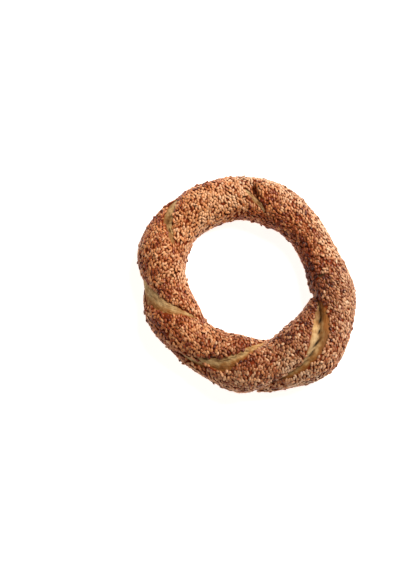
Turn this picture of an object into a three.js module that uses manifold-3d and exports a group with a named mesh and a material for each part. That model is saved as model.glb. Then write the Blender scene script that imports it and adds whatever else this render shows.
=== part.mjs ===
// A simit: a ring of bread made of two ropes of dough twisted together, joined end to end, dipped
// in molasses, rolled in sesame and baked flat on a stone. It bakes into one piece, so it is one
// solid. Millimetres, +Z up. It lies on z = 0, with the origin under the middle of its box.

import * as THREE from 'three';
import { mergeVertices } from 'three/addons/utils/BufferGeometryUtils.js';
import Module from 'manifold-3d';

// The rope was rolled and closed by hand, so neither it nor the ring is even. These go round from
// +X in sixteen equal steps.
const stations = [
  { ringRadius: 69.5, halfWidth: 18.5 },
  { ringRadius: 66.5, halfWidth: 15.0 },
  { ringRadius: 68.5, halfWidth: 15.5 },
  { ringRadius: 71.5, halfWidth: 18.0 },
  { ringRadius: 73.0, halfWidth: 17.5 },
  { ringRadius: 72.0, halfWidth: 18.5 },
  { ringRadius: 71.0, halfWidth: 18.5 },
  { ringRadius: 66.5, halfWidth: 20.5 },
  { ringRadius: 59.5, halfWidth: 19.5 },
  { ringRadius: 57.0, halfWidth: 21.0 },
  { ringRadius: 56.0, halfWidth: 19.5 },
  { ringRadius: 56.5, halfWidth: 19.5 },
  { ringRadius: 60.5, halfWidth: 23.0 },
  { ringRadius: 64.5, halfWidth: 21.5 },
  { ringRadius: 70.0, halfWidth: 25.0 },
  { ringRadius: 70.0, halfWidth: 21.0 },
];

// The rope slumps a little as it bakes: it is lower than it is wide, and flat underneath. Both are
// parts of its half width: its half height, and how high its middle is above the flat.
const halfHeightPart = 0.84;
const middleHeightPart = 0.68;

// Where the two strands meet they leave seams. Each winds from the outer side of the rope over its
// top to its inner side: where it does so, in degrees round the ring, how many degrees it gains over
// the top by running steeper there, and how deep it is.
const seams = [
  { outer: 4, top: 24, inner: 44, steep: 0, depth: 0.8 },
  { outer: 109.5, top: 85, inner: 60.5, steep: 0, depth: 1.0 },
  { outer: 122.7, top: 142.7, inner: 165.7, steep: 0, depth: 2.0 },
  { outer: 176.3, top: 200.4, inner: 228.5, steep: 0, depth: 3.0 },
  { outer: 223.4, top: 263.6, inner: 300, steep: 0, depth: 3.8 },
  { outer: 278, top: 324.5, inner: 350, steep: 19.3, depth: 5.0 },
];
const seamFlank = 5.5;

// Seams die away under the rope, between these angles from its top.
const seamFadeStart = THREE.MathUtils.degToRad(110);
const seamFadeEnd = THREE.MathUtils.degToRad(160);

// Facets round the ring and round the rope's section.
const ringSteps = 120;
const ropeSteps = 22;

const crustColour = 0xb0703c;
const crustRoughness = 0.75;

const wasm = await Module();
wasm.setup();

// One smooth closed run through the stations gives the sizes anywhere round the ring.
const sizeRun = new THREE.CatmullRomCurve3(
  stations.map((station) => new THREE.Vector3(station.ringRadius, station.halfWidth, 0)),
  true,
  'catmullrom',
  0.5,
);

function sizesAt(around) {
  const turn = THREE.MathUtils.euclideanModulo(around / (2 * Math.PI), 1);
  const sizes = sizeRun.getPoint(turn);
  return { ringRadius: sizes.x, halfWidth: sizes.y };
}

// The shorter way round from zero to an angle.
function shortTurn(angle) {
  return THREE.MathUtils.euclideanModulo(angle + Math.PI, 2 * Math.PI) - Math.PI;
}

// Where a seam lies round the ring as it passes one place of the rope's section, in degrees: a
// smooth line through its three stated places.
function seamPlace(seam, section) {
  const fromTop = section / (Math.PI / 2) - 1;
  const lean = (seam.inner - seam.outer) / 2;
  const bow = (seam.inner + seam.outer) / 2 - seam.top;
  return {
    around: seam.top + lean * fromTop + bow * fromTop ** 2 + seam.steep * (fromTop - fromTop ** 3),
    perQuarter: lean + 2 * bow * fromTop + seam.steep * (1 - 3 * fromTop ** 2),
  };
}

// How far the seams draw the surface in, at one place round the ring and round the rope's section
// (0 faces out, a quarter turn faces up).
function seamDepthAt(around, section, ringRadius, halfWidth) {
  const fromTop = Math.abs(shortTurn(section - Math.PI / 2));
  const fade = 1 - THREE.MathUtils.smoothstep(fromTop, seamFadeStart, seamFadeEnd);
  let depth = 0;
  for (const seam of seams) {
    const place = seamPlace(seam, shortTurn(section - Math.PI / 2) + Math.PI / 2);
    const along = ringRadius + halfWidth * Math.cos(section);
    const offset = along * shortTurn(around - THREE.MathUtils.degToRad(place.around));
    const lean = along * THREE.MathUtils.degToRad(place.perQuarter) / (halfWidth * Math.PI / 2);
    const distance = Math.abs(offset) / Math.hypot(1, lean);
    depth += seam.depth * fade * Math.exp(-distance / seamFlank);
  }
  return depth;
}

// The rope as it would be without its flat underside.
function makeRope() {
  const geometry = new THREE.TorusGeometry(1, 0.5, ropeSteps, ringSteps);
  const places = geometry.getAttribute('position');
  for (let i = 0; i < places.count; i += 1) {
    const around = Math.atan2(places.getY(i), places.getX(i));
    const out = Math.hypot(places.getX(i), places.getY(i)) - 1;
    const section = Math.atan2(places.getZ(i), out);
    const { ringRadius, halfWidth } = sizesAt(around);
    const depth = seamDepthAt(around, section, ringRadius, halfWidth);
    const radius = ringRadius + (halfWidth - depth) * Math.cos(section);
    const rise = (halfWidth * halfHeightPart - depth) * Math.sin(section);
    places.setXYZ(
      i,
      radius * Math.cos(around),
      radius * Math.sin(around),
      halfWidth * middleHeightPart + rise,
    );
  }
  return geometry;
}

function toSolid(geometry) {
  geometry.deleteAttribute('normal');
  geometry.deleteAttribute('uv');
  const merged = mergeVertices(geometry);
  return new wasm.Manifold(
    new wasm.Mesh({
      numProp: 3,
      vertProperties: new Float32Array(merged.getAttribute('position').array),
      triVerts: new Uint32Array(merged.getIndex().array),
    }),
  );
}

function toGeometry(solid) {
  const mesh = solid.getMesh();
  const geometry = new THREE.BufferGeometry();
  geometry.setAttribute('position', new THREE.BufferAttribute(mesh.vertProperties, 3));
  geometry.setIndex(new THREE.BufferAttribute(mesh.triVerts, 1));
  geometry.computeVertexNormals();
  return geometry;
}

// All that would hang below the stone is cut away, which leaves the flat it stands on.
function makeBakingStone() {
  const size = 300;
  const geometry = new THREE.BoxGeometry(size, size, size);
  geometry.translate(0, 0, -size / 2);
  return geometry;
}

const crust = new THREE.MeshStandardMaterial({
  color: crustColour,
  roughness: crustRoughness,
  metalness: 0,
});

const simitGeometry = toGeometry(toSolid(makeRope()).subtract(toSolid(makeBakingStone())));
simitGeometry.computeBoundingBox();
const middle = simitGeometry.boundingBox.getCenter(new THREE.Vector3());

const simit = new THREE.Mesh(simitGeometry, crust);
simit.name = 'simit';
simit.position.set(-middle.x, -middle.y, 0);

const group = new THREE.Group();
group.add(simit);

export default group;
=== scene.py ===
import math

import bmesh
import bpy
import numpy as np
from mathutils import Matrix, Vector
from mathutils.kdtree import KDTree


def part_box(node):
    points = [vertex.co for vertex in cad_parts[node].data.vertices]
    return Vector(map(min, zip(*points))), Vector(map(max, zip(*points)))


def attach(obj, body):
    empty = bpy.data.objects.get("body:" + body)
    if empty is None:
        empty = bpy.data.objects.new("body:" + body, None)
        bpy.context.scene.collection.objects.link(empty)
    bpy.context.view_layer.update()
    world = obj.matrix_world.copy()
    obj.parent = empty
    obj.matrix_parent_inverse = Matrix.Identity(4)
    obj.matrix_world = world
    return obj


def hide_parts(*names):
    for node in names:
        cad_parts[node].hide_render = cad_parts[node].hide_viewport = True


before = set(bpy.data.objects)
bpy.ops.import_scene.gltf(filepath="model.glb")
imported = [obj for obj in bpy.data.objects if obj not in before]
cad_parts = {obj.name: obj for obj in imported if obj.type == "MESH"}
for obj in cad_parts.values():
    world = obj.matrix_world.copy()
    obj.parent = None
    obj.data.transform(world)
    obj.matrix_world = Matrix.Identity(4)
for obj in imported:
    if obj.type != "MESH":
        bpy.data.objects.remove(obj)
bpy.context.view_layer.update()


# ---- The baked dough -------------------------------------------------------------------------
# Two ropes of wheat dough twisted together, closed into a ring by hand, dipped in molasses water
# and baked. Where the strands pulled apart in the oven, bare stretched dough shows between them.
# It is shaped from a bmesh ring, with finer faces along the bare seams.

MM = 0.001
FULL_TURN = 2 * math.pi
QUARTER = math.pi / 2

# Round the ring from +X in sixteen equal steps: how far the middle of the rope lies from the
# middle of the ring, and half the rope's width over its seeds.
ring_radii = MM * np.array(
    [69.5, 66.5, 68.5, 71.5, 73.0, 72.0, 71.0, 66.5, 59.5, 57.0, 56.0, 56.5, 60.5, 64.5, 70.0, 70.0]
)
half_widths = MM * np.array(
    [18.5, 15.0, 15.5, 18.0, 17.5, 18.5, 18.5, 20.5, 19.5, 21.0, 19.5, 19.5, 23.0, 21.5, 25.0, 21.0]
)

# The rope slumps a little as it bakes. Both are parts of its half width: its half height, and how
# high its middle is above the flat underside.
half_height_part = 0.84
middle_height_part = 0.68

# Each seam winds from the outer side of the rope over its top to its inner side, at these places
# in degrees round the ring, and runs steeper over the top by some degrees more. It draws the
# surface in by its depth in millimetres, with a level bottom over the flat part of its bare width.
# Toasted is how brown its lips are, and crack how many millimetres off the seam the dough split.
# Three lists go along the seam, by the angle round the rope (0 faces out, 90 up, 180 in). Bare has
# the millimetres of bare dough before and after the seam, split how far the crack has opened, and
# pale how creamy the dough is, with painted light on strips that lie in shade, and how many
# millimetres past the seam it stays so.
seams = [
    dict(
        outer=4, top=24, inner=44, steep=0, depth=0.8, flat=0.0, toasted=0.0, crack=0.0,
        split=[(90, 0)], pale=[(90, 0, 0)], bare=[(90, 0, 0)],
    ),
    dict(
        outer=109.5, top=85, inner=60.5, steep=0, depth=1.0, flat=0.0, toasted=0.85, crack=0.0,
        split=[(90, 0)],
        pale=[(70, 0.9, 3), (135, 0.8, 3)],
        bare=[
            (75, 0, 0), (84, 2.2, 1.9), (94, 3.0, 2.6), (103, 3.2, 2.8), (112, 3.0, 2.7),
            (120, 2.4, 2.2), (130, 1.8, 1.6), (138, 0, 0),
        ],
    ),
    dict(
        outer=122.7, top=142.7, inner=165.7, steep=0, depth=2.0, flat=0.8, toasted=0.65, crack=0.4,
        split=[(40, 0.2), (80, 0.12)],
        pale=[(20, 0.4, 3), (50, 0.15, 3), (70, 0, 1)],
        bare=[
            (12, 0, 0), (24, 3.4, 3.4), (30, 4.6, 4.6), (44, 5.4, 5.4), (55, 5.8, 5.8),
            (67, 4.4, 4.4), (74, 3.4, 3.4), (85, 3.2, 3.2), (100, 3.3, 3.3), (111, 2.4, 2.4),
            (120, 0.8, 0.8), (126, 0, 0),
        ],
    ),
    dict(
        outer=176.3, top=200.4, inner=228.5, steep=0, depth=3.0, flat=0.8, toasted=0.75, crack=-0.4,
        split=[(60, 0.3), (95, 0.14)],
        pale=[(-40, 0.45, 3), (18, 0.45, 3), (50, 0.4, 2), (90, 0.35, 1), (110, 0, 1)],
        bare=[
            (-40, 4, 7), (0, 4.6, 9.0), (18, 5.4, 10.2), (36, 7.4, 8.2), (50, 7.4, 7.4),
            (70, 6.3, 6.3), (90, 4.6, 4.6), (110, 2.8, 2.8), (130, 1.8, 1.8), (146, 0.7, 0.7),
            (153, 0, 0),
        ],
    ),
    dict(
        outer=223.4, top=263.6, inner=300, steep=0, depth=3.8, flat=0.7, toasted=0.9, crack=-1.2,
        split=[(62, 0.1), (76, 0.6), (120, 0.6), (135, 0)],
        pale=[(40, 0.8, 3), (50, 0.4, 1), (110, 0.05, 0)],
        bare=[
            (16, 0, 0), (23, 5.2, 5.8), (36, 5.2, 5.8), (40, 1.0, 1.4), (43, 1.0, 1.8),
            (46, 5.4, 8.4), (65, 5.4, 7.6), (82, 4.6, 4.8), (98, 4.2, 4.0), (111, 3.9, 3.6),
            (133, 3.7, 3.2), (158, 3.2, 2.6), (174, 0, 0),
        ],
    ),
    dict(
        outer=278, top=324.5, inner=350, steep=19.3, depth=5.0, flat=0.0, toasted=0.95, crack=0.0,
        split=[(40, 0.4), (62, 0.5), (74, 0.9), (84, 1), (104, 1), (120, 0.7), (128, 0.4)],
        pale=[
            (25, 0.4, -0.5), (60, 0.4, -0.5), (73, 0.9, -0.5), (90, 0.9, -0.5), (102, 0.25, -0.5),
            (110, 0, -0.5),
        ],
        bare=[
            (14, 0, 0), (24, 1.2, 2.4), (42, 2.0, 4.2), (52, 2.4, 4.8), (61, 2.9, 5.8),
            (70, 3.6, 8.2), (77, 4.2, 9.8), (84, 5.4, 9.2), (90, 6.6, 7.8), (98, 7.0, 6.6),
            (110, 6.6, 5.8), (120, 6.0, 4.8), (128, 3.4, 2.8), (137, 0, 0),
        ],
    ),
]

# How far the sides of a seam reach along the surface, and how wide its rounded bottom is.
seam_flank = 5.5 * MM
seam_bottom = 0.8 * MM

# Seams die away under the rope, between these angles from its top.
seam_fade_start = math.radians(110)
seam_fade_end = math.radians(160)

# Small hollows: their angle round the ring and round the rope, half their length and width and
# their depth in millimetres, their turn in degrees, how much of the coat came away, and how black
# the dough is there, burnt in some and painted shade in the grooves and creases of others.
hollows = [
    dict(ring=82.0, rope=76, half_length=9.6, half_width=3.2, depth=4.4, turn=114, bare=0.3, soot_and_shade=0.45),
    dict(ring=80.5, rope=107, half_length=14.0, half_width=5.0, depth=0.1, turn=117, bare=0.0, soot_and_shade=0.0),
    dict(ring=7, rope=116, half_length=4.0, half_width=1.5, depth=0.5, turn=100, bare=1.0, soot_and_shade=0.85),
    dict(ring=1, rope=108, half_length=2.2, half_width=1.8, depth=0.3, turn=60, bare=0.8, soot_and_shade=0.3),
    dict(ring=139.3, rope=68, half_length=3.0, half_width=1.8, depth=0.4, turn=60, bare=1.0, soot_and_shade=0.5),
    dict(ring=142.8, rope=88, half_length=2.6, half_width=1.3, depth=0.4, turn=60, bare=1.0, soot_and_shade=0.6),
    dict(ring=169.5, rope=122, half_length=3.6, half_width=1.2, depth=1.2, turn=20, bare=0.6, soot_and_shade=0.6),
    dict(ring=174, rope=112, half_length=2.2, half_width=1.8, depth=0.3, turn=80, bare=0.7, soot_and_shade=0.1),
    dict(ring=214, rope=74, half_length=8.0, half_width=1.5, depth=1.6, turn=95, bare=0.0, soot_and_shade=0.3),
    dict(ring=244, rope=59, half_length=2.4, half_width=1.6, depth=0.6, turn=60, bare=0.6, soot_and_shade=0.6),
    dict(ring=249, rope=76, half_length=3.0, half_width=1.0, depth=0.8, turn=40, bare=0.2, soot_and_shade=0.7),
    dict(ring=337, rope=113, half_length=9.0, half_width=5.6, depth=0.2, turn=36, bare=0.0, soot_and_shade=0.36),
    dict(ring=323.5, rope=73, half_length=13.0, half_width=4.6, depth=0.1, turn=45, bare=0.0, soot_and_shade=0.3),
    dict(ring=139, rope=68, half_length=7.0, half_width=3.4, depth=0.2, turn=50, bare=0.0, soot_and_shade=0.25),
    dict(ring=147, rope=104, half_length=6.0, half_width=3.2, depth=0.1, turn=47, bare=0.0, soot_and_shade=0.06),
    dict(ring=354.5, rope=180, half_length=14.0, half_width=4.5, depth=6.0, turn=88, bare=0.0, soot_and_shade=0.0),
]

# How far the dough lies below the tops of its seeds.
coat_thickness = 0.9 * MM

# The dough's own underside, inside the seeds, is level but for its rounded edge.
underside_height = 0.7 * MM
underside_edge = 1.6 * MM
underside_settling = 0.02 * underside_edge

# Torn edges wander in waves: the length of each in millimetres, its own shift, and how much it
# counts. The edge of the coat and the line of a crack wander by these distances at most.
tear_waves = [(1.9, 1.0, 0.45), (0.83, 2.3, 0.35), (0.47, 4.1, 0.2)]
coat_edge_wander = 0.8 * MM
hollow_edge_wander = 0.3 * MM
crack_wander = 0.5 * MM

# A crack is a row of torn gaps in a faint wider shadow.
crack_gape = 1.1 * MM
crack_depth = 1.2 * MM
crack_shadow_width = 1.6 * MM
crack_shadow = 0.35
fold_height = 0.08 * MM


def round_ring(sizes, around):
    """A size anywhere round the ring, on a smooth closed run through the stated ones."""
    place = np.mod(around / FULL_TURN, 1.0) * len(sizes)
    station = np.floor(place).astype(int)
    on = place - station
    a, b, c, d = (sizes[(station + step) % len(sizes)] for step in (-1, 0, 1, 2))
    return b + 0.5 * on * (c - a + on * (2 * a - 5 * b + 4 * c - d + on * (3 * (b - c) + d - a)))


def short_turn(angle):
    """The shorter way round from zero to an angle."""
    return np.mod(angle + math.pi, FULL_TURN) - math.pi


def smooth_step(value, start, end):
    """0 up to the start, 1 from the end on, and a smooth rise between."""
    part = np.clip((value - start) / (end - start), 0, 1)
    return part * part * (3 - 2 * part)


def degrees_round_rope(section):
    """The angle round the rope in degrees, 90 on top, as the lists of the seams give it."""
    return np.degrees(short_turn(section - QUARTER)) + 90


def across_seam(seam, around, section):
    """Distance from a seam along the surface, negative before it and positive after it."""
    quarters = short_turn(section - QUARTER) / QUARTER
    lean = (seam["inner"] - seam["outer"]) / 2
    bow = (seam["inner"] + seam["outer"]) / 2 - seam["top"]
    place = seam["top"] + lean * quarters + bow * quarters**2 + seam["steep"] * (quarters - quarters**3)
    along = round_ring(ring_radii, around) + round_ring(half_widths, around) * np.cos(section)
    turning = lean + 2 * bow * quarters + seam["steep"] * (1 - 3 * quarters**2)
    slope = along * np.radians(turning) / (round_ring(half_widths, around) * QUARTER)
    return along * short_turn(around - np.radians(place)) / np.hypot(1, slope)


def bare_edges(seam, section):
    """How far the bare dough reaches before and after a seam, in metres."""
    angles, before, after = zip(*seam["bare"])
    angle = degrees_round_rope(section)
    return MM * np.interp(angle, angles, before), MM * np.interp(angle, angles, after)


def ragged(along, phase):
    """An uneven line, from -1 to 1, along a torn edge."""
    return sum(
        part * np.sin(along / (length * MM) + shift * phase) for length, shift, part in tear_waves
    )


def from_place(ring_angle, rope_angle, around, section):
    """Distances along the ring and along the rope from the place at two angles in degrees."""
    on_ring = round_ring(ring_radii, around) * short_turn(around - math.radians(ring_angle))
    on_rope = round_ring(half_widths, around) * short_turn(section - math.radians(rope_angle))
    return on_ring, on_rope


def in_hollow(hollow, around, section):
    """1 in the middle of a hollow, falling to 0 at its edge."""
    on_ring, on_rope = from_place(hollow["ring"], hollow["rope"], around, section)
    turn = math.radians(hollow["turn"])
    lengthwise = on_ring * math.cos(turn) + on_rope * math.sin(turn)
    wander = hollow_edge_wander * ragged(lengthwise, hollow["ring"])
    crosswise = on_rope * math.cos(turn) - on_ring * math.sin(turn) + wander
    part_length = lengthwise / (MM * hollow["half_length"])
    part_width = crosswise / (MM * hollow["half_width"])
    reach = np.hypot(part_length, part_width)
    return 1 - smooth_step(reach, 0.5, 1.2)


def cracked_along(seam, along, distance, angle):
    """How far the dough has cracked: torn gaps of uneven length and width, in a faint shadow, all painted
    as near black shade in the crust.
    """
    phase = seam["top"]
    off_crack = distance - MM * seam["crack"] - crack_wander * ragged(along, phase + 4)
    gape = crack_gape * (1.25 + ragged(along * 0.6, phase + 5))
    dashes = np.cos((along - 1.7 * MM) / (0.75 * MM)) + 0.6 * np.sin(along / (0.4 * MM) + phase)
    gaps = smooth_step(dashes, -0.4, 0.2) * np.exp(-((off_crack / gape) ** 2))
    shadow = crack_shadow * np.exp(-((off_crack / crack_shadow_width) ** 2))
    opened = np.interp(angle, *zip(*seam["split"]))
    return opened * np.maximum(gaps, shadow)


def pale_along(seam, distance, angle):
    """How pale the dough is: creamy where it stretched last, and painted light on strips in shade, up to
    some way past the seam.
    """
    angles, amounts, reaches = zip(*seam["pale"])
    beyond = distance - MM * np.interp(angle, angles, reaches)
    return np.interp(angle, angles, amounts) * (1 - smooth_step(beyond, -MM, MM))


def toasted_along(seam, distance, before, after):
    """How brown the dough is: more and more after the seam, and only at the coat before it."""
    browned_after = smooth_step(distance / np.maximum(after, MM), 0.0, 0.7)
    browned_before = 0.8 * smooth_step(-distance / np.maximum(before, MM), 0.6, 1.0)
    return seam["toasted"] * np.maximum(browned_after, browned_before)


def dough_marks(around, section):
    """What shows at places on the dough: bare, pale, toasted, crack, and the black of burns and
    painted shade, each from 0 to 1, and the distances along and across the nearest seam."""
    along = round_ring(half_widths, around) * short_turn(section - QUARTER)
    angle = degrees_round_rope(section)
    names = ("bare", "pale", "toasted", "crack", "soot_and_shade", "across")
    marks = {name: np.zeros_like(around) for name in names}
    marks["along"] = along
    for seam in seams:
        distance = across_seam(seam, around, section)
        before, after = bare_edges(seam, section)
        torn_before = before + coat_edge_wander * ragged(along, seam["top"])
        torn_after = after + coat_edge_wander * ragged(along, seam["top"] + 2)
        inside = np.minimum(distance + torn_before, torn_after - distance)
        shown = smooth_step(before + after, 0.2 * MM, 1.2 * MM)
        here = smooth_step(inside, -0.5 * MM, 1.3 * MM) * shown
        nearest = here > marks["bare"]
        pale = pale_along(seam, distance, angle)
        toasted = toasted_along(seam, distance, before, after)
        crack = cracked_along(seam, along, distance, angle)
        marks["pale"] = np.where(nearest, pale, marks["pale"])
        marks["toasted"] = np.where(nearest, toasted, marks["toasted"])
        marks["across"] = np.where(nearest, distance, marks["across"])
        marks["bare"] = np.maximum(marks["bare"], here)
        marks["crack"] = np.maximum(marks["crack"], crack * here)
    for hollow in hollows:
        here = in_hollow(hollow, around, section)
        marks["bare"] = np.maximum(marks["bare"], hollow["bare"] * here)
        marks["toasted"] = np.maximum(marks["toasted"], 0.6 * here)
        marks["soot_and_shade"] = np.maximum(marks["soot_and_shade"], hollow["soot_and_shade"] * here)
    return marks


def rope_surface(around, section, sunk):
    """Points of the rope's surface, sunk below the tops of the seeds."""
    ring_radius = round_ring(ring_radii, around)
    half_width = round_ring(half_widths, around)
    from_top = np.abs(short_turn(section - QUARTER))
    fade = 1 - smooth_step(from_top, seam_fade_start, seam_fade_end)
    drawn_in = sunk
    for seam in seams:
        distance = across_seam(seam, around, section)
        before, after = bare_edges(seam, section)
        level = seam["flat"] * np.where(distance < 0, before, after)
        distance = np.hypot(np.maximum(np.abs(distance) - level, 0), seam_bottom)
        drawn_in = drawn_in + MM * seam["depth"] * fade * np.exp(-distance / seam_flank)
    for hollow in hollows:
        drawn_in = drawn_in + MM * hollow["depth"] * in_hollow(hollow, around, section)
    radius = ring_radius + (half_width - drawn_in) * np.cos(section)
    height = half_width * middle_height_part + (half_width * half_height_part - drawn_in) * np.sin(section)
    over_flat = height - underside_height
    rounded = (over_flat + np.hypot(over_flat, underside_edge)) / 2
    height = underside_height + rounded - underside_settling
    return np.stack([radius * np.cos(around), radius * np.sin(around), height], axis=-1)


# The ring's box, from places all over it, goes in the middle of the box of the CAD ring.
sample_around, sample_section = np.meshgrid(
    np.linspace(0, FULL_TURN, 481), np.linspace(0, FULL_TURN, 97),
)
sample = rope_surface(sample_around, sample_section, 0.0).reshape(-1, 3)
cad_middle = (np.array(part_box("simit")[0]) + np.array(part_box("simit")[1])) / 2
ring_place = cad_middle - (sample.min(axis=0) + sample.max(axis=0)) / 2
ring_place[2] = 0.0


def mesh_numbers(mesh, domain, name, size):
    """One property of all vertices, faces or corners of a mesh, with so many numbers for each."""
    numbers = np.empty(len(getattr(mesh, domain)) * size)
    getattr(mesh, domain).foreach_get(name, numbers)
    return numbers.reshape(-1, size) if size > 1 else numbers


# The rope is spun as a plain ring of radius 1, and split finer where bare dough will show.
ring_steps = 480
rope_steps = 88
plain_rope_radius = 0.3
seam_cuts = 2
dough_bm = bmesh.new()
bmesh.ops.create_circle(dough_bm, segments=rope_steps, radius=plain_rope_radius, cap_ends=False)
upright = Matrix.Rotation(QUARTER, 3, "X")
bmesh.ops.rotate(dough_bm, verts=dough_bm.verts, cent=(0, 0, 0), matrix=upright)
bmesh.ops.translate(dough_bm, verts=dough_bm.verts, vec=(1, 0, 0))
bmesh.ops.spin(
    dough_bm, geom=dough_bm.verts[:] + dough_bm.edges[:], cent=(0, 0, 0), axis=(0, 0, 1),
    angle=FULL_TURN, steps=ring_steps, use_merge=True, use_duplicate=False,
)


def angles_of(places):
    """The angle round the ring and round the rope of points on the plain bmesh ring."""
    around = np.arctan2(places[:, 1], places[:, 0])
    section = np.arctan2(places[:, 2], np.hypot(places[:, 0], places[:, 1]) - 1)
    return around, section


plain_places = np.array([vert.co for vert in dough_bm.verts])
near_bare = dough_marks(*angles_of(plain_places))["bare"] > 0.02
dough_bm.verts.index_update()
seam_edges = [edge for edge in dough_bm.edges if any(near_bare[vert.index] for vert in edge.verts)]
bmesh.ops.subdivide_edges(dough_bm, edges=seam_edges, cuts=seam_cuts, use_grid_fill=True)
bmesh.ops.recalc_face_normals(dough_bm, faces=dough_bm.faces)
dough_mesh = bpy.data.meshes.new("simit_dough")
dough_bm.to_mesh(dough_mesh)
dough_bm.free()

# Its UV map is laid out in two bands, one for each half of the ring, while it is still plain.
around, section = angles_of(mesh_numbers(dough_mesh, "vertices", "co", 3))
corner_vert = mesh_numbers(dough_mesh, "loops", "vertex_index", 1).astype(int)
face_start = mesh_numbers(dough_mesh, "polygons", "loop_start", 1).astype(int)
face_size = mesh_numbers(dough_mesh, "polygons", "loop_total", 1).astype(int)
corner_face = np.repeat(np.arange(len(face_start)), face_size)
first_around = around[corner_vert[face_start]][corner_face]
first_section = section[corner_vert[face_start]][corner_face]
corner_around = first_around + short_turn(around[corner_vert] - first_around)
corner_section = first_section + short_turn(section[corner_vert] - first_section)
middle_around = np.bincount(corner_face, corner_around) / face_size
middle_section = np.bincount(corner_face, corner_section) / face_size
corner_around -= (FULL_TURN * np.floor(middle_around / FULL_TURN))[corner_face]
corner_section -= (FULL_TURN * np.floor(middle_section / FULL_TURN))[corner_face]
band = np.floor(np.mod(middle_around, FULL_TURN) / math.pi)[corner_face]
band_margin = 0.01
across = band_margin + (1 - 2 * band_margin) * (corner_around / math.pi - band)
upward = band / 2 + band_margin + (0.5 - 2 * band_margin) * corner_section / FULL_TURN
dough_map = dough_mesh.uv_layers.new(name="OFBake")
dough_map.data.foreach_set("uv", np.stack([across, upward], axis=-1).ravel())

# Stretched dough has fine folds along the seam, and its crack opens a slot.
marks = dough_marks(around, section)
folds = (
    np.sin(marks["across"] / (0.24 * MM) + 2 * np.sin(marks["along"] / (3.1 * MM)))
    + 0.8 * np.sin(marks["along"] / (0.9 * MM) + 3 * np.sin(marks["across"] / (1.3 * MM)))
    + 0.6 * np.sin(marks["along"] / (0.37 * MM) + marks["across"] / (0.5 * MM))
)
sunk = coat_thickness + crack_depth * marks["crack"] + fold_height * marks["bare"] * folds
places = rope_surface(around, section, sunk) + ring_place
dough_mesh.vertices.foreach_set("co", places.ravel())
for name in ("bare", "pale", "toasted", "crack", "soot_and_shade"):
    dough_mesh.attributes.new(name, "FLOAT", "POINT").data.foreach_set("value", marks[name])
seam_way = np.stack([marks["along"], marks["across"], np.zeros_like(around)], axis=-1)
dough_mesh.attributes.new("seam_way", "FLOAT_VECTOR", "POINT").data.foreach_set("vector", seam_way.ravel())
dough_mesh.shade_smooth()
dough_mesh.update()
dough = bpy.data.objects.new("simit_dough", dough_mesh)
bpy.context.collection.objects.link(dough)


def to_linear(code):
    """A colour from its sRGB hex code."""
    parts = [int(code[start:start + 2], 16) / 255 for start in (1, 3, 5)]
    return [part / 12.92 if part <= 0.04045 else ((part + 0.055) / 1.055) ** 2.4 for part in parts] + [1.0]


def add(tree, kind, inputs=None, **settings):
    """Adds a node with its settings. An input is a plain value, or another node's output to link."""
    made = tree.nodes.new(kind)
    for name, value in settings.items():
        setattr(made, name, value)
    for socket, value in (inputs or {}).items():
        if isinstance(value, bpy.types.NodeSocket):
            tree.links.new(value, made.inputs[socket])
        else:
            made.inputs[socket].default_value = value
    return made


# Molasses-glazed wheat crust: dark and reddish under the seeds, where the glaze pooled. Bare
# dough is a matt tan with fine dark flecks along the seam, cream on a lip that stretched late and
# painted light on strips in shade, toasted brown towards the seeds, painted black shade in the
# cracks, and black in the hollows for burns and for painted shade. The grain of the crust and the
# flecks are finer on real dough, and are drawn as coarse as they need to show.
glaze_patch_size = 3.85 * MM
dough_patch_size = 4.17 * MM
fleck_length = 1.43 * MM
fleck_width = 0.5 * MM
crust_grain_size = 1.11 * MM
crust_grain_height = 0.4 * MM
crust = bpy.data.materials.new("molasses_glazed_wheat_crust")
crust.use_nodes = True
tree = crust.node_tree
tree.nodes.clear()
where = add(tree, "ShaderNodeTexCoord").outputs["Object"]
mark = {
    name: add(tree, "ShaderNodeAttribute", attribute_name=name).outputs["Fac"]
    for name in ("bare", "pale", "toasted", "crack", "soot_and_shade")
}
way = add(tree, "ShaderNodeAttribute", attribute_name="seam_way").outputs["Vector"]
glaze_patches = add(
    tree, "ShaderNodeTexNoise", {"Vector": where, "Scale": 1 / glaze_patch_size, "Detail": 3.0},
)
glaze = add(
    tree, "ShaderNodeMix",
    {0: glaze_patches.outputs["Fac"], 6: to_linear("#5E1604"), 7: to_linear("#8E3C12")}, data_type="RGBA",
)
dough_patches = add(
    tree, "ShaderNodeTexNoise", {"Vector": where, "Scale": 1 / dough_patch_size, "Detail": 5.0},
)
patchy = add(
    tree, "ShaderNodeMapRange",
    {"Value": dough_patches.outputs["Fac"], "From Min": 0.35, "From Max": 0.65},
)
stretched = add(
    tree, "ShaderNodeMix",
    {0: patchy.outputs["Result"], 6: to_linear("#AB7A46"), 7: to_linear("#D2AA74")}, data_type="RGBA",
)
# Painted light: the pale mark also lifts bare strips that lie in shade.
creamy_and_painted_light = add(
    tree, "ShaderNodeMix",
    {0: mark["pale"], 6: stretched.outputs[2], 7: to_linear("#CDAE80")}, data_type="RGBA",
)
browned_by_patch = add(
    tree, "ShaderNodeMath",
    {0: patchy.outputs["Result"], 1: -0.35, 2: mark["toasted"]}, operation="MULTIPLY_ADD",
)
browned = add(
    tree, "ShaderNodeMapRange",
    {"Value": browned_by_patch.outputs[0], "From Min": -0.25, "From Max": 0.7},
)
toasted_lips = add(
    tree, "ShaderNodeMix",
    {0: browned.outputs["Result"], 6: creamy_and_painted_light.outputs[2], 7: to_linear("#935A2A")}, data_type="RGBA",
)
streaks_along = add(
    tree, "ShaderNodeMapping", {"Vector": way, "Scale": (1 / fleck_length, 1 / fleck_width, 1.0)},
)
streaks = add(
    tree, "ShaderNodeTexNoise",
    {"Vector": streaks_along.outputs["Vector"], "Scale": 1.0, "Detail": 3.0},
)
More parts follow.
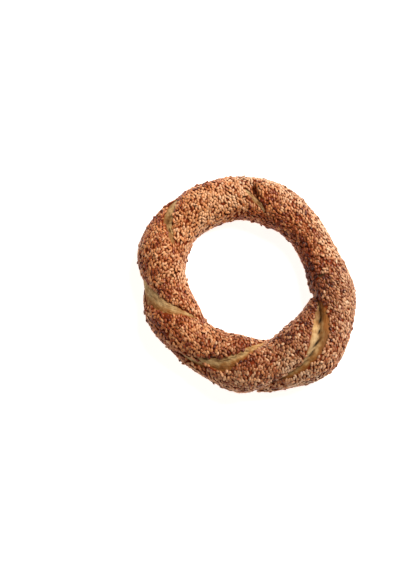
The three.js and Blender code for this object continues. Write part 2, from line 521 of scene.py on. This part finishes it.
fleck_mask = add(
    tree, "ShaderNodeMapRange",
    {"Value": streaks.outputs["Fac"], "From Min": 0.54, "From Max": 0.7, "To Min": 0.0, "To Max": 0.65},
)
flecked = add(
    tree, "ShaderNodeMix",
    {0: fleck_mask.outputs["Result"], 6: toasted_lips.outputs[2], 7: to_linear("#74562C")},
    data_type="RGBA",
)
# Painted shade: the crack's gaps and their faint shadow are painted near black.
crack_painted_shade = add(
    tree, "ShaderNodeMix",
    {0: mark["crack"], 6: flecked.outputs[2], 7: to_linear("#1C1208")}, data_type="RGBA",
)
edge_glaze = add(
    tree, "ShaderNodeMapRange",
    {"Value": mark["bare"], "From Min": 0.35, "From Max": 0.85},
)
whole = add(
    tree, "ShaderNodeMix",
    {0: edge_glaze.outputs["Result"], 6: glaze.outputs[2], 7: crack_painted_shade.outputs[2]}, data_type="RGBA",
)
# Painted shade as well as burnt dough: the hollows' dark mark blackens grooves and creases.
sooty_and_shaded = add(
    tree, "ShaderNodeMix",
    {0: mark["soot_and_shade"], 6: whole.outputs[2], 7: to_linear("#2E2A18")}, data_type="RGBA",
)
roughness = add(
    tree, "ShaderNodeMapRange",
    {"Value": mark["bare"], "From Min": 0.0, "From Max": 1.0, "To Min": 0.7, "To Max": 0.6},
)
grain = add(
    tree, "ShaderNodeTexNoise", {"Vector": where, "Scale": 1 / crust_grain_size, "Detail": 5.0},
)
bump = add(
    tree, "ShaderNodeBump",
    {"Height": grain.outputs["Fac"], "Strength": 0.6, "Distance": crust_grain_height},
)
shader = add(
    tree, "ShaderNodeBsdfPrincipled",
    {
        "Base Color": sooty_and_shaded.outputs[2],
        "Roughness": roughness.outputs["Result"],
        "Normal": bump.outputs["Normal"],
        "Specular IOR Level": 0.1,
    },
)
add(tree, "ShaderNodeOutputMaterial", {"Surface": shader.outputs["BSDF"]})
dough_mesh.materials.append(crust)

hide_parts("simit")
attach(dough, "root")


# ---- The sesame seeds ------------------------------------------------------------------------
# The wet ring is pressed into hulled sesame, so flat pear-shaped seeds stick all over it, side by
# side and mostly lying the same way. They toast as the ring bakes, more where the oven is hotter,
# and take the reddish glaze where it ran. Their tones also carry painted shade and light: darker
# and redder where they face away from the window light, lighter where they face it.

# The seeds are about a third longer than real ones, which are 2.6 to 3 mm, because their neighbours
# cover part of each. The room that each one keeps to itself is smaller than the seed.
seed_length = 3.8 * MM
seed_width = 2.1 * MM
seed_thickness = 1.2 * MM
seed_room_length = 3.15 * MM
seed_room_width = 1.8 * MM
scatter_gap = 1.65 * MM
chance = np.random.default_rng(7)

# The way the seeds lie, in degrees from +X, at eight places round the ring.
lying_ways = np.array([110.0, 118.0, 98.0, 88.0, 76.0, 98.0, 100.0, 92.0])

# Where the oven browned the seeds more or less, with painted shade and light mixed in: darker and
# redder on walls turned away from the window light, lighter on sides turned to it. Angle round the
# ring and round the rope, reach along the ring and along the rope in millimetres, how much more
# toasted and how much more glazed.
oven_marks_and_painted_shade = [
    (56, 148, 42, 16, 0.24, 0.45),
    (10, 148, 26, 12, 0.28, 0.10),
    (340, 150, 26, 14, 0.26, -0.15),
    (45, 95, 26, 12, 0.10, 0.25),
    (74, 80, 9, 14, 0.16, 0.45),
    (82.5, 68, 3.6, 6.5, 0.30, 0.40),
    (88, 168, 34, 9, 0.04, 0.45),
    (48, 33, 54, 13, -0.11, -0.35),
    (92, 118, 18, 18, -0.21, 0.20),
    (120, 105, 26, 16, -0.20, 0.60),
    (123, 30, 28, 11, 0.14, 0.60),
    (90, 25, 20, 9, -0.10, 0.10),
    (122, 160, 20, 9, -0.10, 0.10),
    (180, 155, 20, 12, -0.10, 0.0),
    (128, 40, 34, 12, 0.05, 0.50),
    (150, 100, 22, 22, 0.06, 0.45),
    (182, 30, 30, 12, 0.02, 0.50),
    (200, 85, 46, 24, 0.04, 0.35),
    (210, 95, 16, 24, 0.08, 0.10),
    (205, 125, 24, 20, 0.14, 0.10),
    (246, 140, 18, 13, -0.12, 0.05),
    (215, 25, 46, 12, 0.10, 0.35),
    (240, 78, 24, 18, -0.09, 0.10),
    (268, 103, 24, 20, 0.40, -0.05),
    (302, 135, 16, 14, 0.26, -0.05),
    (300, 60, 20, 20, -0.14, -0.25),
    (334, 90, 30, 28, 0.20, -0.42),
    (2, 80, 14, 16, 0.13, -0.30),
    (352, 25, 26, 12, 0.12, -0.35),
]

seed_bm = bmesh.new()
seed_bm.loops.layers.uv.new("OFBake")
bmesh.ops.create_uvsphere(seed_bm, u_segments=8, v_segments=5, radius=0.5, calc_uvs=True)
lengthways = Matrix.Rotation(QUARTER, 3, "Y")
bmesh.ops.rotate(seed_bm, verts=seed_bm.verts, cent=(0, 0, 0), matrix=lengthways)
for vert in seed_bm.verts:
    pear = 1.08 - 0.75 * vert.co.x - 0.6 * vert.co.x**2
    vert.co.y *= pear
    vert.co.z *= pear
bmesh.ops.scale(seed_bm, verts=seed_bm.verts, vec=(seed_length, seed_width, seed_thickness))
bmesh.ops.recalc_face_normals(seed_bm, faces=seed_bm.faces)
seed_shape = bpy.data.meshes.new("seed_shape")
seed_bm.to_mesh(seed_shape)
seed_bm.free()
shape_places = mesh_numbers(seed_shape, "vertices", "co", 3)
shape_corners = mesh_numbers(seed_shape, "loops", "vertex_index", 1).astype(int)
shape_starts = mesh_numbers(seed_shape, "polygons", "loop_start", 1).astype(int)
shape_uv = np.empty(len(shape_corners) * 2)
seed_shape.uv_layers["OFBake"].data.foreach_get("uv", shape_uv)
shape_uv = shape_uv.reshape(-1, 2)

# Over a seed, tip rises to 1 at the pointed end, and rim from the upper face to the underside.
shape_tip = shape_places[:, 0] / seed_length + 0.5
across_seed = np.hypot(shape_places[:, 1] / seed_width, shape_places[:, 2] / seed_thickness)
shape_rim = 1 - shape_places[:, 2] / seed_thickness / np.maximum(across_seed, 0.05)


def rope_frame(around, section):
    """Points on the dough, how they move per radian round the ring and the rope, and outwards."""
    step = 1e-3
    centre = rope_surface(around, section, coat_thickness)
    ringwise = (rope_surface(around + step, section, coat_thickness) - centre) / step
    ropewise = (rope_surface(around, section + step, coat_thickness) - centre) / step
    out = np.cross(ringwise, ropewise)
    return centre, ringwise, ropewise, out / np.linalg.norm(out, axis=1, keepdims=True)


def lie(around, section, out, scatter):
    """The direction that each seed points in, along the surface. The way drifts in slow waves."""
    way = round_ring(lying_ways, around) + scatter
    way = way + 14 * np.sin(3 * around + 2 * section) + 10 * np.sin(8 * around - 3 * section)
    way = np.radians(way)
    flat = np.stack([np.cos(way), np.sin(way), 0 * way], axis=-1)
    flat = flat - out * np.sum(flat * out, axis=1, keepdims=True)
    return flat / np.linalg.norm(flat, axis=1, keepdims=True)


# The seeds are first scattered evenly, no two too close, and thin out over the edge of the coat.
tries = 90000
around = chance.uniform(0, FULL_TURN, tries)
section = chance.uniform(0, FULL_TURN, tries)
centre, ringwise, ropewise, out = rope_frame(around, section)
room = np.linalg.norm(np.cross(ringwise, ropewise), axis=1)
wanted = room / room.max() > chance.uniform(0, 1, tries)
wanted &= dough_marks(around, section)["bare"] < chance.uniform(0.05, 0.45, tries)
kept = []
taken = {}
for candidate in np.flatnonzero(wanted):
    place = centre[candidate]
    cell = tuple(np.floor(place / scatter_gap).astype(int))
    close = any(
        np.sum((centre[other] - place) ** 2) < scatter_gap**2
        for dx in (-1, 0, 1) for dy in (-1, 0, 1) for dz in (-1, 0, 1)
        for other in taken.get((cell[0] + dx, cell[1] + dy, cell[2] + dz), ())
    )
    if not close:
        kept.append(candidate)
        taken.setdefault(cell, []).append(candidate)
around, section = around[kept], section[kept]

# Most point within some degrees of the way they lie, either end first, and a few point any way.
turn_spread = 20
any_way_part = 0.1
turned = chance.normal(0, turn_spread, len(kept)) + 180 * chance.integers(0, 2, len(kept))
any_way = chance.uniform(0, 1, len(kept)) < any_way_part
turned = np.where(any_way, chance.uniform(0, 360, len(kept)), turned)

# Then neighbours that lie on each other shift apart on the sticky dough, a little at a time.
shift_rounds = 16
shift_part = 0.3
longest_shift = 0.6
for _ in range(shift_rounds):
    centre, ringwise, ropewise, out = rope_frame(around, section)
    point = lie(around, section, out, turned)
    neighbours = KDTree(len(centre))
    for index, place in enumerate(centre):
        neighbours.insert(place, index)
    neighbours.balance()
    pairs = np.array([
        (index, other)
        for index, place in enumerate(centre)
        for _, other, _ in neighbours.find_range(place, seed_room_length)
        if other > index
    ])
    first, second = pairs.T
    apart = centre[second] - centre[first]
    distance = np.linalg.norm(apart, axis=1)
    room_between = np.zeros(len(pairs))
    for seed in (first, second):
        lengthwise = np.sum(apart * point[seed], axis=1)
        crosswise = np.sqrt(np.maximum(distance**2 - lengthwise**2, 0))
        room_between += 0.5 * np.hypot(lengthwise / seed_room_length, crosswise / seed_room_width)
    shove = np.clip(1 / np.maximum(room_between, 0.3) - 1, 0, longest_shift) * shift_part
    push = np.zeros_like(centre)
    np.add.at(push, first, -apart * shove[:, None])
    np.add.at(push, second, apart * shove[:, None])
    ring_ring = np.sum(ringwise * ringwise, axis=1)
    rope_rope = np.sum(ropewise * ropewise, axis=1)
    ring_rope = np.sum(ringwise * ropewise, axis=1)
    push_ring = np.sum(push * ringwise, axis=1)
    push_rope = np.sum(push * ropewise, axis=1)
    spanned = ring_ring * rope_rope - ring_rope**2
    around = around + (push_ring * rope_rope - push_rope * ring_rope) / spanned
    section = section + (push_rope * ring_ring - push_ring * ring_rope) / spanned

coated = dough_marks(around, section)["bare"] < chance.uniform(0.1, 0.55, len(around))
around, section, turned = around[coated], section[coated], turned[coated]

# A few more lie loose on top, at any angle.
loose_count = 380
loose_around = chance.uniform(0, FULL_TURN, loose_count)
loose_section = chance.uniform(math.radians(-20), math.radians(200), loose_count)
stuck = dough_marks(loose_around, loose_section)["bare"] < 0.1
loose_around, loose_section = loose_around[stuck], loose_section[stuck]
loose = np.arange(len(around) + len(loose_around)) >= len(around)
around = np.concatenate([around, loose_around])
section = np.concatenate([section, loose_section])
turned = np.concatenate([turned, chance.uniform(0, 360, len(loose_around))])


def turn_both(first, second, angle):
    """Two directions at a right angle, turned together in the plane they span."""
    return (
        first * np.cos(angle) + second * np.sin(angle),
        second * np.cos(angle) - first * np.sin(angle),
    )


# Every seed lies on the dough at its own tilt, size and height. The ones underneath lie flat.
tilt_spread = 7
roll_spread = 10
loose_spread = 16
size_spreads = (0.08, 0.08, 0.1)
seat_height = 0.25
seat_uneven = 0.25
loose_height = 0.7
floor_gap = 0.02 * MM
count = len(around)
centre, ringwise, ropewise, out = rope_frame(around, section)
centre = centre + ring_place
under = out[:, 2] < -0.8
point = lie(around, section, out, turned)
sideways = np.cross(out, point)
tilt = chance.normal(0, tilt_spread, count) + loose * chance.normal(0, loose_spread, count)
roll = chance.normal(0, roll_spread, count) + loose * chance.normal(0, loose_spread, count)
point, face = turn_both(point, out, np.radians(np.where(under, 0.0, tilt))[:, None])
sideways, face = turn_both(sideways, face, np.radians(np.where(under, 0.0, roll))[:, None])
size = np.stack([chance.normal(1, spread, count) for spread in size_spreads], axis=-1)
uneven = np.where(under, 0.0, chance.uniform(0, seat_uneven, count))
lift = MM * (seat_height + uneven + loose_height * loose)
seat = centre + out * lift[:, None]
frames = np.stack([point, sideways, face], axis=-1) * size[:, None, :]
seed_places = np.einsum("nij,vj->nvi", frames, shape_places) + seat[:, None, :]
below_floor = np.minimum(seed_places[:, :, 2].min(axis=1) - floor_gap, 0)
seed_places[:, :, 2] -= below_floor[:, None]

# Each seed has its own tone, changed by the oven marks with their painted shade and light, and
# darker round the dark hollows, the burnt ones and those painted as shade, where many are charred.
# A few are charred anywhere.
usual_toast = 0.345
toast_spread = 0.165
usual_glaze = 0.44
glaze_spread = 0.2
dark_hollow_reach = 3.2 * MM
charred_anywhere = 0.006
charred_near_hollows = 0.25
darkened_near_hollows = 0.2
toast_and_shade = chance.normal(usual_toast, toast_spread, count)
glaze_and_shade = chance.normal(usual_glaze, glaze_spread, count)
# Painted shade and light: the oven marks also darken seeds turned from the window light and lighten those
# turned to it.
for ring_angle, rope_angle, ring_reach, rope_reach, toasting_and_shade, glazing_and_shade in oven_marks_and_painted_shade:
    on_ring, on_rope = from_place(ring_angle, rope_angle, around, section)
    here = np.exp(-((on_ring / (MM * ring_reach)) ** 2) - (on_rope / (MM * rope_reach)) ** 2)
    toast_and_shade += toasting_and_shade * here
    glaze_and_shade += glazing_and_shade * here
# Painted shade as well as burning: seeds darken and char round the dark hollows.
near_dark_hollows = np.zeros(count)
for hollow in hollows:
    on_ring, on_rope = from_place(hollow["ring"], hollow["rope"], around, section)
    near_dark_hollows += hollow["soot_and_shade"] * np.exp(-((np.hypot(on_ring, on_rope) / dark_hollow_reach) ** 2))
charred = chance.uniform(0, 1, count) < charred_anywhere + charred_near_hollows * near_dark_hollows
charred_toast = chance.uniform(0.7, 0.95, count)
toast_and_shade = np.clip(np.where(charred, charred_toast, toast_and_shade + darkened_near_hollows * near_dark_hollows), 0, 1)
glaze_and_shade = np.clip(glaze_and_shade, 0, 1)

# Toasted sesame hull: thin and dry with a low sheen, from pale tan through gold to red-brown,
# redder where the glaze soaked in and darker at the pointed end. The rim darkens to red-brown for
# glaze pooled there and as painted shade between the seeds.
# The oven toasts patches of seeds alike, and each seed is mottled, more coarsely than a real one.
oven_patch_size = 14.3 * MM
hull_mottle_size = 0.714 * MM
hull_skin_height = 0.15 * MM
hull = bpy.data.materials.new("toasted_sesame_hull")
hull.use_nodes = True
tree = hull.node_tree
tree.nodes.clear()
where = add(tree, "ShaderNodeTexCoord").outputs["Object"]
# Painted shade and light: the seeds' toast and glaze values carry the oven marks' painted shade.
toast_and_shade_mask = add(tree, "ShaderNodeAttribute", attribute_name="toast_and_shade").outputs["Fac"]
glaze_and_shade_mask = add(tree, "ShaderNodeAttribute", attribute_name="glaze_and_shade").outputs["Fac"]
tip_mask = add(tree, "ShaderNodeAttribute", attribute_name="tip").outputs["Fac"]
rim_mask = add(tree, "ShaderNodeAttribute", attribute_name="rim").outputs["Fac"]
oven_patches = add(
    tree, "ShaderNodeTexNoise", {"Vector": where, "Scale": 1 / oven_patch_size, "Detail": 3.0},
)
oven = add(
    tree, "ShaderNodeMapRange",
    {
        "Value": oven_patches.outputs["Fac"],
        "From Min": 0.3, "From Max": 0.7, "To Min": -0.17, "To Max": 0.17,
    },
)
mottle_pattern = add(
    tree, "ShaderNodeTexNoise", {"Vector": where, "Scale": 1 / hull_mottle_size, "Detail": 2.0},
)
mottle = add(
    tree, "ShaderNodeMapRange",
    {
        "Value": mottle_pattern.outputs["Fac"],
        "From Min": 0.3, "From Max": 0.7, "To Min": -0.12, "To Max": 0.12,
    },
)
toast_by_patch = add(
    tree, "ShaderNodeMath", {0: toast_and_shade_mask, 1: oven.outputs["Result"]}, operation="ADD",
)
toast_mottled = add(
    tree, "ShaderNodeMath",
    {0: toast_by_patch.outputs[0], 1: mottle.outputs["Result"]}, operation="ADD",
)
toast_steps = (0.0, 0.3, 0.55, 0.8, 1.0)
plain_shades = ("#E0B998", "#C99872", "#A26640", "#743A20", "#40180C")
glazed_shades = ("#EAAE7E", "#D28852", "#AA5627", "#7A2E13", "#461307")
ramps = []
for shades in (plain_shades, glazed_shades):
    ramp = add(tree, "ShaderNodeValToRGB", {"Fac": toast_mottled.outputs[0]})
    stops = ramp.color_ramp.elements
    stops[0].color = to_linear(shades[0])
    stops[1].color = to_linear(shades[-1])
    for position, code in zip(toast_steps[1:-1], shades[1:-1]):
        stops.new(position).color = to_linear(code)
    ramps.append(ramp.outputs["Color"])
shade = add(tree, "ShaderNodeMix", {0: glaze_and_shade_mask, 6: ramps[0], 7: ramps[1]}, data_type="RGBA")
tip_dark = add(
    tree, "ShaderNodeMapRange",
    {"Value": tip_mask, "From Min": 0.7, "From Max": 1.0, "To Min": 0.0, "To Max": 0.55},
)
tipped = add(
    tree, "ShaderNodeMix",
    {0: tip_dark.outputs["Result"], 6: shade.outputs[2], 7: to_linear("#5A2A14")}, data_type="RGBA",
)
# Painted shade: each seed's sides and underside darken to dark red, for the shade between the seeds as
# well as for pooled glaze.
rim_shade_and_glaze = add(
    tree, "ShaderNodeMapRange",
    {"Value": rim_mask, "From Min": 0.3, "From Max": 1.1, "To Min": 0.0, "To Max": 0.8},
)
hull_colour = add(
    tree, "ShaderNodeMix",
    {0: rim_shade_and_glaze.outputs["Result"], 6: tipped.outputs[2], 7: to_linear("#5E1804")}, data_type="RGBA",
)
sheen_patches = add(
    tree, "ShaderNodeMapRange",
    {
        "Value": mottle_pattern.outputs["Fac"],
        "From Min": 0.3, "From Max": 0.7, "To Min": 0.28, "To Max": 0.42,
    },
)
skin = add(
    tree, "ShaderNodeBump",
    {"Height": mottle_pattern.outputs["Fac"], "Strength": 0.25, "Distance": hull_skin_height},
)
shader = add(
    tree, "ShaderNodeBsdfPrincipled",
    {
        "Base Color": hull_colour.outputs[2],
        "Roughness": sheen_patches.outputs["Result"],
        "Normal": skin.outputs["Normal"],
        "Specular IOR Level": 0.3,
    },
)
add(tree, "ShaderNodeOutputMaterial", {"Surface": shader.outputs["BSDF"]})


def make_seeds(name, chosen):
    """One piece of many seeds, each with its own small square of the UV map."""
    seeds = len(chosen)
    verts = len(shape_places)
    mesh = bpy.data.meshes.new(name)
    mesh.vertices.add(seeds * verts)
    mesh.vertices.foreach_set("co", seed_places[chosen].ravel())
    corners = shape_corners[None, :] + verts * np.arange(seeds)[:, None]
    mesh.loops.add(corners.size)
    mesh.loops.foreach_set("vertex_index", corners.ravel().astype(np.int32))
    starts = shape_starts[None, :] + len(shape_corners) * np.arange(seeds)[:, None]
    mesh.polygons.add(starts.size)
    mesh.polygons.foreach_set("loop_start", starts.ravel().astype(np.int32))
    mesh.update(calc_edges=True)
    mesh.validate()
    squares = math.ceil(math.sqrt(seeds))
    square = np.stack([np.arange(seeds) % squares, np.arange(seeds) // squares], axis=-1)
    margin = 0.08
    places = (square[:, None, :] + margin + (1 - 2 * margin) * shape_uv[None, :, :]) / squares
    mesh.uv_layers.new(name="OFBake").data.foreach_set("uv", places.ravel())
    for mask, values in (
        ("toast_and_shade", np.repeat(toast_and_shade[chosen], verts)),
        ("glaze_and_shade", np.repeat(glaze_and_shade[chosen], verts)),
        ("tip", np.tile(shape_tip, seeds)),
        ("rim", np.tile(shape_rim, seeds)),
    ):
        mesh.attributes.new(mask, "FLOAT", "POINT").data.foreach_set("value", values)
    mesh.shade_smooth()
    mesh.materials.append(hull)
    piece = bpy.data.objects.new(name, mesh)
    bpy.context.collection.objects.link(piece)
    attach(piece, "root")


# One piece for each quarter of the ring keeps every piece small.
seed_pieces = 4
seed_turn = np.mod(np.arctan2(centre[:, 1], centre[:, 0]), FULL_TURN)
seed_quarter = np.floor(seed_turn / FULL_TURN * seed_pieces)
for quarter in range(seed_pieces):
    make_seeds(f"sesame_seeds_{quarter + 1}", np.flatnonzero(seed_quarter == quarter))
bpy.data.meshes.remove(seed_shape)


# ---- The floor, light and camera -------------------------------------------------------------
# A plain white floor that glows a little, as a light table does, so shadows on it stay pale. A
# big soft light stands at the back right, a weak warm one like the glow of a wall at the left, and
# even light comes from the room. The camera looks down on the bread from in front of it.

floor_half_width = 8.0
floor_bm = bmesh.new()
bmesh.ops.create_grid(floor_bm, x_segments=1, y_segments=1, size=floor_half_width)
floor_mesh = bpy.data.meshes.new("white_floor")
floor_bm.to_mesh(floor_mesh)
floor_bm.free()
floor = bpy.data.objects.new("white_floor", floor_mesh)
bpy.context.collection.objects.link(floor)

# Lit white acrylic sheet: matt, nearly white, and even all over.
acrylic = bpy.data.materials.new("lit_white_acrylic")
acrylic.use_nodes = True
acrylic_shader = acrylic.node_tree.nodes["Principled BSDF"]
acrylic_shader.inputs["Base Color"].default_value = to_linear("#F4F3F1")
acrylic_shader.inputs["Roughness"].default_value = 0.8
acrylic_shader.inputs["Emission Color"].default_value = to_linear("#FEFCFA")
acrylic_shader.inputs["Emission Strength"].default_value = 0.85
floor_mesh.materials.append(acrylic)

room = bpy.data.worlds.new("room")
room.use_nodes = True
room_light = room.node_tree.nodes["Background"]
room_light.inputs["Color"].default_value = (1.0, 0.98, 0.95, 1.0)
room_light.inputs["Strength"].default_value = 0.15
bpy.context.scene.world = room

bread_middle = Vector((0, 0, 0.02))


def add_light(name, size, power, colour, place):
    """A round soft light, pointed at the bread."""
    light = bpy.data.lights.new(name, "AREA")
    light.shape = "DISK"
    light.size = size
    light.energy = power
    light.color = colour
    lamp = bpy.data.objects.new(name, light)
    lamp.location = place
    lamp.rotation_euler = (bread_middle - Vector(place)).to_track_quat("-Z", "Y").to_euler()
    bpy.context.collection.objects.link(lamp)


add_light("window", size=1.2, power=50.0, colour=(1.0, 0.96, 0.9), place=(0.95, 0.85, 1.25))
add_light("wall", size=1.5, power=3.2, colour=(1.0, 0.84, 0.64), place=(-1.3, -0.6, 0.7))

camera_distance = 1.0
camera_elevation = math.radians(77)
camera_lens = 81.6
aim = Vector((-36 * MM, -2.5 * MM, 17 * MM))
to_camera = Vector((0, -math.cos(camera_elevation), math.sin(camera_elevation)))
camera_data = bpy.data.cameras.new("camera")
camera_data.lens = camera_lens
camera_data.clip_start = 0.01
camera = bpy.data.objects.new("camera", camera_data)
camera.location = aim + camera_distance * to_camera
camera.rotation_euler = (QUARTER - camera_elevation, 0, 0)
bpy.context.collection.objects.link(camera)
bpy.context.scene.camera = camera
bpy.context.scene.view_settings.view_transform = "Standard"
